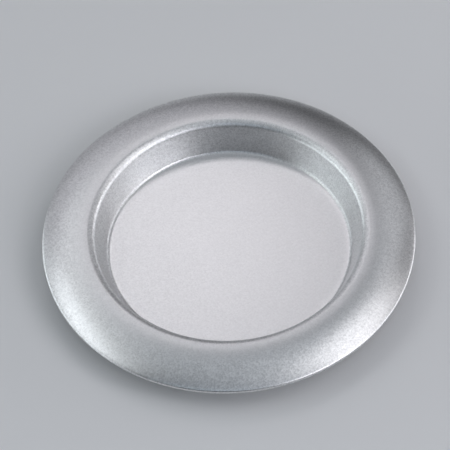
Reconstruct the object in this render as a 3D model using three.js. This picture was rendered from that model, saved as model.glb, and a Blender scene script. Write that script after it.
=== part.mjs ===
// A candle plate: a shallow round dish pressed from one sheet of steel, on four felt pads.
// Millimetres, +Z up. The origin is the centre of the surface that the pads stand on.
import * as THREE from 'three';

// Driving dimensions
const OVERALL_DIAMETER = 120;
const SHEET_THICKNESS = 0.6;
const FLOOR_DIAMETER = 77.2;      // flat part of the floor, where the candle stands
const WELL_DEPTH = 10.7;          // from the floor up to the crest of the lip
const CORNER_RADIUS = 1.2;        // floor to wall, on the upper surface
const WALL_SLOPE = 70;            // degrees from level
const LIP_RADIUS = 3;             // wall to rim, on the upper surface
const RIM_END_SLOPE = 30;         // degrees below level where the domed rim meets the curl
const CURL_RADIUS = 0.9;          // outside radius of the curled edge
const CURL_END_SLOPE = 230;       // degrees: the sheet's end is tucked up under the rim
const PAD_DIAMETER = 10;
const PAD_THICKNESS = 1;
const PAD_CIRCLE_RADIUS = 29;     // from the plate's axis to each pad's centre

// Facets
const TURNS = 72;                 // sides of the dish around its axis
const PAD_SIDES = 32;
const CORNER_STEPS = 3;
const LIP_STEPS = 6;
const RIM_STEPS = 6;
const CURL_STEPS = 10;

const FELT_UNDERSIDE = 0;
const DISH_UNDERSIDE = FELT_UNDERSIDE + PAD_THICKNESS;
const FLOOR_LEVEL = DISH_UNDERSIDE + SHEET_THICKNESS;

const radians = THREE.MathUtils.degToRad;

// One bend of the sheet's section. The slope is measured from level and falls from the wall's slope, through
// zero at the crest, to negative values on the rim. A hollow bend turns upwards and a domed one downwards.
function bend(centre, radius, fromSlope, toSlope, steps, hollow) {
  return { centre, radius, fromSlope: radians(fromSlope), toSlope: radians(toSlope), steps, hollow };
}

// The centre of each bend, so that every stretch of the section runs smoothly into the next one.
function dishBends() {
  const wall = radians(WALL_SLOPE);
  const rimEnd = radians(RIM_END_SLOPE);
  const corner = new THREE.Vector2(FLOOR_DIAMETER / 2, FLOOR_LEVEL + CORNER_RADIUS);
  const wallRise = WELL_DEPTH - (CORNER_RADIUS + LIP_RADIUS) * (1 - Math.cos(wall));
  const crestRadius = corner.x + (CORNER_RADIUS + LIP_RADIUS) * Math.sin(wall) + wallRise / Math.tan(wall);
  const crestLevel = FLOOR_LEVEL + WELL_DEPTH;
  const lip = new THREE.Vector2(crestRadius, crestLevel - LIP_RADIUS);
  const curlCentreRadius = OVERALL_DIAMETER / 2 - CURL_RADIUS;
  const rimRadius = (curlCentreRadius - crestRadius) / Math.sin(rimEnd) + CURL_RADIUS;
  const rim = new THREE.Vector2(crestRadius, crestLevel - rimRadius);
  const curl = new THREE.Vector2(curlCentreRadius, rim.y + (rimRadius - CURL_RADIUS) * Math.cos(rimEnd));
  return [
    bend(corner, CORNER_RADIUS, 0, WALL_SLOPE, CORNER_STEPS, true),
    bend(lip, LIP_RADIUS, WALL_SLOPE, 0, LIP_STEPS, false),
    bend(rim, rimRadius, 0, -RIM_END_SLOPE, RIM_STEPS, false),
    bend(curl, CURL_RADIUS, -RIM_END_SLOPE, -CURL_END_SLOPE, CURL_STEPS, false),
  ];
}

// The points of one side of the sheet, from the axis to the curl's end. depth is how far that side lies
// below the upper surface, square to it.
function sheetSide(bends, depth) {
  const points = [new THREE.Vector2(0, FLOOR_LEVEL - depth)];
  for (const { centre, radius, fromSlope, toSlope, steps, hollow } of bends) {
    const side = hollow ? -1 : 1;
    const sideRadius = radius - side * depth;
    for (let step = 0; step <= steps; step += 1) {
      const slope = THREE.MathUtils.lerp(fromSlope, toSlope, step / steps);
      const across = -side * sideRadius * Math.sin(slope);
      const up = side * sideRadius * Math.cos(slope);
      const point = new THREE.Vector2(centre.x + across, centre.y + up);
      if (point.distanceTo(points.at(-1)) > 1e-6) points.push(point);
    }
  }
  return points;
}

function dish() {
  const bends = dishBends();
  const upper = sheetSide(bends, 0);
  const lower = sheetSide(bends, SHEET_THICKNESS);
  const section = [...lower, ...upper.reverse()];
  const material = new THREE.MeshStandardMaterial({ color: '#c3c5c8', roughness: 0.32, metalness: 1 });
  const mesh = new THREE.Mesh(new THREE.LatheGeometry(section, TURNS), material);
  mesh.name = 'dish';
  mesh.rotation.x = Math.PI / 2;
  return mesh;
}

function feltPad(name, direction) {
  const shape = new THREE.CylinderGeometry(PAD_DIAMETER / 2, PAD_DIAMETER / 2, PAD_THICKNESS, PAD_SIDES);
  const material = new THREE.MeshStandardMaterial({ color: '#4a4a4c', roughness: 1, metalness: 0 });
  const mesh = new THREE.Mesh(shape, material);
  mesh.name = `felt_pad_${name}`;
  mesh.rotation.x = Math.PI / 2;
  mesh.position.set(
    PAD_CIRCLE_RADIUS * Math.cos(direction),
    PAD_CIRCLE_RADIUS * Math.sin(direction),
    FELT_UNDERSIDE + PAD_THICKNESS / 2,
  );
  return mesh;
}

const plate = new THREE.Group();
plate.add(dish());
['right', 'back', 'left', 'front'].forEach((name, quarter) => {
  plate.add(feltPad(name, quarter * Math.PI / 2));
});

export default plate;
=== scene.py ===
"""Candle plate: the looks of a shallow pressed metal dish on four felt pads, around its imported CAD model."""

import math

import bmesh
import bpy
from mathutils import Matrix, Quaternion, Vector, noise


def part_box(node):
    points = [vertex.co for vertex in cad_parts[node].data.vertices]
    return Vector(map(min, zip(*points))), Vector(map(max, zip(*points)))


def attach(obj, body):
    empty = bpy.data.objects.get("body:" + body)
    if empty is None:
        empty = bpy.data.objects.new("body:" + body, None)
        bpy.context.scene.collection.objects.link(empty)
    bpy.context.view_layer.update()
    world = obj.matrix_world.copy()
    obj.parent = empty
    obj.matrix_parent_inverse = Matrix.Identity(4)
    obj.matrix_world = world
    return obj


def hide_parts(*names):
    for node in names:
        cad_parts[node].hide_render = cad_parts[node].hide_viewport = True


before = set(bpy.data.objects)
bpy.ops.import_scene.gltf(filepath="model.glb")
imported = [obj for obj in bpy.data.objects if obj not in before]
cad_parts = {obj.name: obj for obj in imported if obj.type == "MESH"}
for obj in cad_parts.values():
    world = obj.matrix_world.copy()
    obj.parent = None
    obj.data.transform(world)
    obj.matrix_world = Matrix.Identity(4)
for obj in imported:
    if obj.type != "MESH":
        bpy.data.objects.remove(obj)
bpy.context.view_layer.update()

MM = 0.001
SAME_PLACE = 0.0001 * MM

# The dish's section, as in the CAD model
SHEET_THICKNESS = 0.6 * MM
FLOOR_RADIUS = 38.6 * MM
WELL_DEPTH = 10.7 * MM
CORNER_RADIUS = 1.2 * MM
WALL_SLOPE = math.radians(70)
LIP_RADIUS = 3.0 * MM
RIM_END_SLOPE = math.radians(30)
CURL_RADIUS = 0.9 * MM
CURL_END_SLOPE = math.radians(230)

# How finely the section is stepped, in turns about the axis and in steps along each stretch
TURNS = 384
FLOOR_STEPS = 24
CORNER_STEPS = 12
LIP_STEPS = 24
RIM_STEPS = 30
CURL_STEPS = 26
EDGE_STEPS = 8

DISH_LOW, DISH_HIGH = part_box("dish")
OUTER_RADIUS = DISH_HIGH.x
FLOOR_LEVEL = DISH_LOW.z + SHEET_THICKNESS

# The felt pads: the thin adhesive on top, and how far the felt's fibres stand up from its faces
PAD_TURNS = 128
PAD_ROUNDING = 0.22 * MM
PAD_RINGS = 40
PAD_ROUNDING_STEPS = 6
PAD_SIDE_STEPS = 8
ADHESIVE_THICKNESS = 0.12 * MM
FILM_INSET = 0.08 * MM
FIBRE_LIFT = 0.05 * MM
FIBRE_SPACING = 0.35 * MM
FIBRE_FALLOFF = 0.7
FIBRE_LACUNARITY = 2.0
FIBRE_OCTAVES = 4


# ---------------------------------------------------------------- shapes

def dish_bends():
    """Each bend: centre (radius, height), bend radius, slopes at its ends, steps and whether it's hollow."""
    corner = Vector((FLOOR_RADIUS, FLOOR_LEVEL + CORNER_RADIUS))
    both = CORNER_RADIUS + LIP_RADIUS
    wall_rise = WELL_DEPTH - both * (1 - math.cos(WALL_SLOPE))
    crest_radius = FLOOR_RADIUS + both * math.sin(WALL_SLOPE) + wall_rise / math.tan(WALL_SLOPE)
    crest_level = FLOOR_LEVEL + WELL_DEPTH
    lip = Vector((crest_radius, crest_level - LIP_RADIUS))
    curl_x = OUTER_RADIUS - CURL_RADIUS
    rim_radius = (curl_x - crest_radius) / math.sin(RIM_END_SLOPE) + CURL_RADIUS
    rim = Vector((crest_radius, crest_level - rim_radius))
    curl = Vector((curl_x, rim.y + (rim_radius - CURL_RADIUS) * math.cos(RIM_END_SLOPE)))
    # The curl stops short of the CAD model's by half the sheet's thickness, along the middle of the sheet
    edge_turn = SHEET_THICKNESS / 2 / (CURL_RADIUS - SHEET_THICKNESS / 2)
    return [
        (corner, CORNER_RADIUS, 0, WALL_SLOPE, CORNER_STEPS, True),
        (lip, LIP_RADIUS, WALL_SLOPE, 0, LIP_STEPS, False),
        (rim, rim_radius, 0, -RIM_END_SLOPE, RIM_STEPS, False),
        (curl, CURL_RADIUS, -RIM_END_SLOPE, edge_turn - CURL_END_SLOPE, CURL_STEPS, False),
    ]


def sheet_side(depth):
    """Points of one side of the sheet, from the axis to the curl's end."""
    points = []
    for step in range(FLOOR_STEPS):
        points.append(Vector((FLOOR_RADIUS * step / FLOOR_STEPS, FLOOR_LEVEL - depth)))
    for centre, radius, start, end, steps, hollow in dish_bends():
        side = -1 if hollow else 1
        side_radius = radius - side * depth
        for step in range(steps + 1):
            slope = start + (end - start) * step / steps
            out = Vector((-side * math.sin(slope), side * math.cos(slope)))
            point = centre + side_radius * out
            if (point - points[-1]).length > SAME_PLACE:
                points.append(point)
    return points


def sheet_edge(first, last):
    """Points of the hollow half round that closes the sheet's cut edge, between its two sides."""
    centre = (first + last) / 2
    across = (first - last) / 2
    into_sheet = Vector((-across.y, across.x))
    points = []
    for step in range(1, EDGE_STEPS):
        angle = math.pi * step / EDGE_STEPS
        points.append(centre + math.cos(angle) * across + math.sin(angle) * into_sheet)
    return points


def revolve(name, section, turns):
    """A closed surface of revolution. The section starts and ends on the axis."""
    mesh = bmesh.new()
    rings = []
    for radius, height in section:
        if radius < SAME_PLACE:
            rings.append([mesh.verts.new((0, 0, height))])
            continue
        ring = []
        for turn in range(turns):
            angle = math.tau * turn / turns
            ring.append(mesh.verts.new((radius * math.cos(angle), radius * math.sin(angle), height)))
        rings.append(ring)
    for lower, upper in zip(rings, rings[1:]):
        for turn in range(turns):
            after = (turn + 1) % turns
            corners = [lower[turn % len(lower)], lower[after % len(lower)],
                       upper[after % len(upper)], upper[turn % len(upper)]]
            mesh.faces.new(list(dict.fromkeys(corners)))
    bmesh.ops.recalc_face_normals(mesh, faces=mesh.faces)
    return finish_mesh(name, mesh)


def felt_pad(node, material):
    """A pressed felt disc under a thin film of adhesive, with a rounded lower edge and fibrous faces."""
    low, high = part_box(node)
    centre = (low + high) / 2
    radius = (high.x - low.x) / 2
    felt_top = high.z - ADHESIVE_THICKNESS
    section = [(radius * step / PAD_RINGS, low.z) for step in range(PAD_RINGS)]
    section = [point for point in section if point[0] < radius - PAD_ROUNDING]
    for step in range(PAD_ROUNDING_STEPS + 1):
        angle = math.pi / 2 * step / PAD_ROUNDING_STEPS
        across = radius - PAD_ROUNDING * (1 - math.sin(angle))
        section.append((across, low.z + PAD_ROUNDING * (1 - math.cos(angle))))
    side_height = felt_top - low.z - PAD_ROUNDING
    for step in range(1, PAD_SIDE_STEPS + 1):
        section.append((radius, low.z + PAD_ROUNDING + side_height * step / PAD_SIDE_STEPS))
    film_radius = radius - FILM_INSET
    section += [(film_radius, felt_top), (film_radius, high.z), (0, high.z)]
    pad = revolve(node + "_felt", section, PAD_TURNS)
    for vertex in pad.data.vertices:
        place = vertex.co.copy()
        where = (place + centre) / FIBRE_SPACING
        lift = FIBRE_LIFT * noise.fractal(where, FIBRE_FALLOFF, FIBRE_LACUNARITY, FIBRE_OCTAVES)
        if place.z < felt_top - SAME_PLACE:
            on_side = place.z > low.z + PAD_ROUNDING / 2
            outward = Vector((place.x, place.y, 0)).normalized() if on_side else Vector()
            vertex.co += lift * outward
            vertex.co.z = max(place.z, low.z + abs(lift))
        vertex.co += Vector((centre.x, centre.y, 0))
    pad.data.materials.append(material)
    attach(pad, "root")
    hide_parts(node)


def finish_mesh(name, mesh):
    data = bpy.data.meshes.new(name)
    mesh.to_mesh(data)
    mesh.free()
    data.shade_smooth()
    piece = bpy.data.objects.new(name, data)
    bpy.context.scene.collection.objects.link(piece)
    return piece


# ---------------------------------------------------------------- materials

class Nodes:
    """The node tree of a material or world, with short calls to add and join nodes."""

    def __init__(self, owner, shader="Principled BSDF"):
        owner.use_nodes = True
        self.owner = owner
        self.tree = owner.node_tree
        self.shader = self.tree.nodes[shader]

    def add(self, kind, inputs=None, **settings):
        made = self.tree.nodes.new("ShaderNode" + kind)
        for key, value in settings.items():
            setattr(made, key, value)
        for key, value in (inputs or {}).items():
            self.put(made.inputs[key], value)
        return made

    def put(self, socket, value):
        if isinstance(value, bpy.types.NodeSocket):
            self.tree.links.new(value, socket)
        else:
            socket.default_value = value

    def noise(self, place, size):
        return self.add("TexNoise", {"Vector": place, "Scale": 1 / size}).outputs["Fac"]

    def spread(self, value, low, high, near=0.3, far=0.7):
        """The value, from near..far, moved to low..high."""
        limits = {"From Min": near, "From Max": far, "To Min": low, "To Max": high}
        return self.add("MapRange", {"Value": value, **limits}).outputs["Result"]

    def mix(self, factor, first, second):
        made = self.add("Mix", data_type="RGBA")
        self.put(made.inputs["Factor"], factor)
        self.put(made.inputs[6], first)
        self.put(made.inputs[7], second)
        return made.outputs[2]

    def vector(self, operation, first, second):
        made = self.add("VectorMath", operation=operation)
        self.put(made.inputs[0], first)
        self.put(made.inputs["Scale"] if operation == "SCALE" else made.inputs[1], second)
        return made.outputs["Vector"]


# The dish's finish: metallic flakes gathered in faint patches, orange peel, and a duller ring over the lip
SILVER_TONE = 0.8
FLAKE_SIZE = 0.36 * MM
FLAKE_LEAN = 0.03
FLAKE_DARK = 0.64
FLAKE_LIGHT = 0.96
PATCH_SIZE = 0.9 * MM
PATCH_SHARE = 0.25
SLOPING = 0.97
FLAKES_ON_LEVEL = 0.4
PEEL_SIZE = 1.6 * MM
PEEL_DEPTH = 0.0015 * MM
ROUGHNESS_SIZE = 0.5 * MM
ROUGHNESS_LOW = 0.332
ROUGHNESS_HIGH = 0.348
LIP_MIDDLE = FLOOR_RADIUS + 5.2 * MM
LIP_REACH = 1.8 * MM
LIP_FADE = 2.0 * MM
LIP_DULLING = 0.08

# The pads' felt and its adhesive film
TANGLE_SIZE = 0.22 * MM
WOOL_PATCH_SIZE = 1.6 * MM
WOOL_DARK = (0.035, 0.035, 0.038, 1)
WOOL_GREY = (0.065, 0.064, 0.068, 1)
FIBRE_PALE = (0.16, 0.155, 0.16, 1)
FIBRE_FROM = 0.45
FIBRE_SHARE = 0.55
FELT_ROUGHNESS = 0.95
FILM_COLOUR = (0.62, 0.58, 0.5, 1)
FILM_ROUGHNESS = 0.45
FILM_BLEND = 0.01 * MM


def grey(tone):
    return (tone, tone, tone, 1)


def flake_tone(nodes, place, flakes):
    """The flakes' own tones, strongest where the sheet slopes."""
    flake = nodes.add("SeparateColor", {"Color": flakes}).outputs["Red"]
    patches = nodes.spread(nodes.noise(place, PATCH_SIZE), 0, 1)
    graded = nodes.mix(nodes.mix(PATCH_SHARE, flake, patches), grey(FLAKE_DARK), grey(FLAKE_LIGHT))
    upright = nodes.add("SeparateXYZ", {"Vector": nodes.add("NewGeometry").outputs["Normal"]}).outputs["Z"]
    share = nodes.spread(upright, 1, FLAKES_ON_LEVEL, SLOPING, 1)
    return nodes.mix(share, grey(SILVER_TONE), graded)


def sheet_roughness(nodes, place):
    """A nearly even satin, a little duller in a ring over the lip."""
    across = nodes.vector("MULTIPLY", place, (1, 1, 0))
    from_axis = nodes.add("VectorMath", {0: across}, operation="LENGTH").outputs["Value"]
    past_lip = nodes.add("Math", {0: from_axis, 1: LIP_MIDDLE}, operation="SUBTRACT").outputs["Value"]
    from_lip = nodes.add("Math", {0: past_lip}, operation="ABSOLUTE").outputs["Value"]
    satin = nodes.spread(nodes.noise(place, ROUGHNESS_SIZE), ROUGHNESS_LOW, ROUGHNESS_HIGH)
    dulling = nodes.spread(from_lip, LIP_DULLING, 0, LIP_REACH, LIP_REACH + LIP_FADE)
    return nodes.add("Math", {0: satin, 1: dulling}).outputs["Value"]


def silver():
    """Satin silver metallic: fine flakes that lean a little each way, under a faint orange peel."""
    nodes = Nodes(bpy.data.materials.new("silver"))
    place = nodes.add("TexCoord").outputs["Object"]
    flakes = nodes.add("TexVoronoi", {"Vector": place, "Scale": 1 / FLAKE_SIZE}).outputs["Color"]
    lean = nodes.vector("SCALE", nodes.vector("SUBTRACT", flakes, (0.5, 0.5, 0.5)), FLAKE_LEAN)
    swell = nodes.noise(place, PEEL_SIZE)
    peel = nodes.add("Bump", {"Height": swell, "Distance": PEEL_DEPTH, "Strength": 1.0})
    normal = nodes.vector("NORMALIZE", nodes.vector("ADD", peel.outputs["Normal"], lean), (0, 0, 0))
    nodes.put(nodes.shader.inputs["Normal"], normal)
    nodes.put(nodes.shader.inputs["Base Color"], flake_tone(nodes, place, flakes))
    nodes.put(nodes.shader.inputs["Roughness"], sheet_roughness(nodes, place))
    nodes.shader.inputs["Metallic"].default_value = 1
    return nodes.owner


def felt(film_level):
    """Dark pressed wool: tangled fibres, some paler, and the pale adhesive film above film_level."""
    nodes = Nodes(bpy.data.materials.new("felt"))
    place = nodes.add("TexCoord").outputs["Object"]
    tangle = nodes.add("TexNoise", {
        "Vector": place,
        "Scale": 1 / TANGLE_SIZE,
        "Detail": 5.0,
        "Distortion": 1.6,
    })
    fibres = nodes.spread(tangle.outputs["Fac"], 0, 1)
    patches = nodes.spread(nodes.noise(place, WOOL_PATCH_SIZE), 0, 1)
    paler = nodes.spread(fibres, 0, FIBRE_SHARE, FIBRE_FROM, 1)
    wool = nodes.mix(paler, nodes.mix(patches, WOOL_DARK, WOOL_GREY), FIBRE_PALE)
    level = nodes.add("SeparateXYZ", {"Vector": place}).outputs["Z"]
    film = nodes.spread(level, 0, 1, film_level - FILM_BLEND, film_level)
    nodes.put(nodes.shader.inputs["Base Color"], nodes.mix(film, wool, FILM_COLOUR))
    nodes.put(nodes.shader.inputs["Roughness"], nodes.spread(film, FELT_ROUGHNESS, FILM_ROUGHNESS, 0, 1))
    bump = nodes.add("Bump", {"Height": fibres, "Distance": FIBRE_LIFT, "Strength": 0.9})
    nodes.put(nodes.shader.inputs["Normal"], bump.outputs["Normal"])
    nodes.shader.inputs["Sheen Weight"].default_value = 0.35
    nodes.shader.inputs["Sheen Roughness"].default_value = 0.5
    return nodes.owner


# ---------------------------------------------------------------- pieces

def make_dish():
    """The sheet, revolved from its section: the upper side, the cut edge and the underside."""
    upper = sheet_side(0)
    lower = sheet_side(SHEET_THICKNESS)
    cut_edge = sheet_edge(upper[-1], lower[-1])
    dish = revolve("dish_surface", upper + cut_edge + lower[::-1], TURNS)
    dish.data.materials.append(silver())
    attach(dish, "root")
    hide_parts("dish")


def make_pads():
    """The four pads, with their adhesive film against the dish."""
    material = felt(DISH_LOW.z - ADHESIVE_THICKNESS)
    for node in [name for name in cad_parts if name.startswith("felt_pad")]:
        felt_pad(node, material)


# ---------------------------------------------------------------- stage

CAMERA_AIM = Vector((-0.9, 8.2, 2.6)) * MM
CAMERA_DISTANCE = 725 * MM
CAMERA_ELEVATION = math.radians(52.9)
CAMERA_ROLL = math.radians(-3.6)
CAMERA_LENS = 178.3

FLOOR_HALF_WIDTH = 6000 * MM
FLOOR_TONE = 0.76
LIGHT_DISTANCE = 1000 * MM


def make_camera():
    """Above the near side, looking down at the plate, turned a little about its own axis."""
    data = bpy.data.cameras.new("camera")
    data.lens = CAMERA_LENS
    camera = bpy.data.objects.new("camera", data)
    bpy.context.scene.collection.objects.link(camera)
    back = Vector((0, -math.cos(CAMERA_ELEVATION), math.sin(CAMERA_ELEVATION)))
    camera.location = CAMERA_AIM + CAMERA_DISTANCE * back
    camera.rotation_mode = "QUATERNION"
    camera.rotation_quaternion = (-back).to_track_quat("-Z", "Y") @ Quaternion((0, 0, 1), CAMERA_ROLL)
    bpy.context.scene.camera = camera


def make_floor():
    mesh = bmesh.new()
    bmesh.ops.create_grid(mesh, x_segments=1, y_segments=1, size=FLOOR_HALF_WIDTH)
    floor = finish_mesh("floor", mesh)
    nodes = Nodes(bpy.data.materials.new("floor"))
    nodes.shader.inputs["Base Color"].default_value = grey(FLOOR_TONE)
    nodes.shader.inputs["Roughness"].default_value = 0.8
    floor.data.materials.append(nodes.owner)


def direction_to(azimuth, elevation):
    """The unit vector towards an azimuth, in degrees from +X towards +Y, and an elevation."""
    a, e = math.radians(azimuth), math.radians(elevation)
    return Vector((math.cos(a) * math.cos(e), math.sin(a) * math.cos(e), math.sin(e)))


def soft_light(name, azimuth, elevation, width, height, radiance):
    """A rectangular soft light whose width and height are the degrees it takes up, seen from the plate."""
    out = direction_to(azimuth, elevation)
    data = bpy.data.lights.new(name, "AREA")
    data.shape = "RECTANGLE"
    data.size = 2 * LIGHT_DISTANCE * math.tan(math.radians(width / 2))
    data.size_y = 2 * LIGHT_DISTANCE * math.tan(math.radians(height / 2))
    data.energy = max(radiance) * math.pi * data.size * data.size_y
    data.color = [channel / max(radiance) for channel in radiance]
    light = bpy.data.objects.new(name, data)
    light.location = out * LIGHT_DISTANCE
    light.rotation_mode = "QUATERNION"
    light.rotation_quaternion = (-out).to_track_quat("-Z", "Y")
    light.visible_camera = False
    bpy.context.scene.collection.objects.link(light)


def glow(nodes, azimuth, elevation, spread, radiance):
    """A wide soft light in the sky that fades out at spread degrees from its middle."""
    direction = nodes.add("TexCoord").outputs["Generated"]
    middle = direction_to(azimuth, elevation)
    along = nodes.add("VectorMath", {0: direction, 1: middle}, operation="DOT_PRODUCT").outputs["Value"]
    fade = nodes.add("MapRange", {"Value": along, "From Min": math.cos(math.radians(spread)), "From Max": 1},
                     interpolation_type="SMOOTHSTEP").outputs["Result"]
    return nodes.vector("SCALE", radiance, fade)


def make_world():
    """A dim room, lighter overhead and beyond the plate."""
    world = bpy.data.worlds.new("world")
    nodes = Nodes(world, "Background")
    far_side = glow(nodes, 115, 32.5, 38, (0.49, 0.49, 0.53))
    overhead = glow(nodes, 0, 85, 41, (0.36, 0.39, 0.425))
    nodes.put(nodes.shader.inputs["Color"], nodes.vector("ADD", far_side, overhead))
    bpy.context.scene.world = world


def make_lights():
    """Soft boxes and bright walls round the plate, as its reflections show them."""
    soft_light("left_low", 177, 10.5, 70, 14, (2.4, 2.61, 2.7))
    soft_light("left_high", 172, 42, 36, 18, (1.4, 1.48, 1.54))
    soft_light("right", 320, 32, 40, 24, (2.5, 2.52, 2.7))
    soft_light("right_high", -5, 54, 34.5, 31, (1.23, 1.22, 1.26))
    soft_light("right_low", 4, 11, 56, 20, (2.1, 2.1, 2.2))
    soft_light("far_panel", 91.4, 53.5, 11, 9.5, (2.65, 2.55, 2.65))
    soft_light("far_wide", 157, 55, 62, 24, (0.44, 0.46, 0.465))
    soft_light("far_right", 51, 36, 25, 36, (0.51, 0.52, 0.55))
    soft_light("near_band", 260, 45, 50, 16, (0.62, 0.72, 0.84))


make_dish()
make_pads()
make_camera()
make_floor()
make_world()
make_lights()
bpy.context.scene.view_settings.view_transform = "Standard"
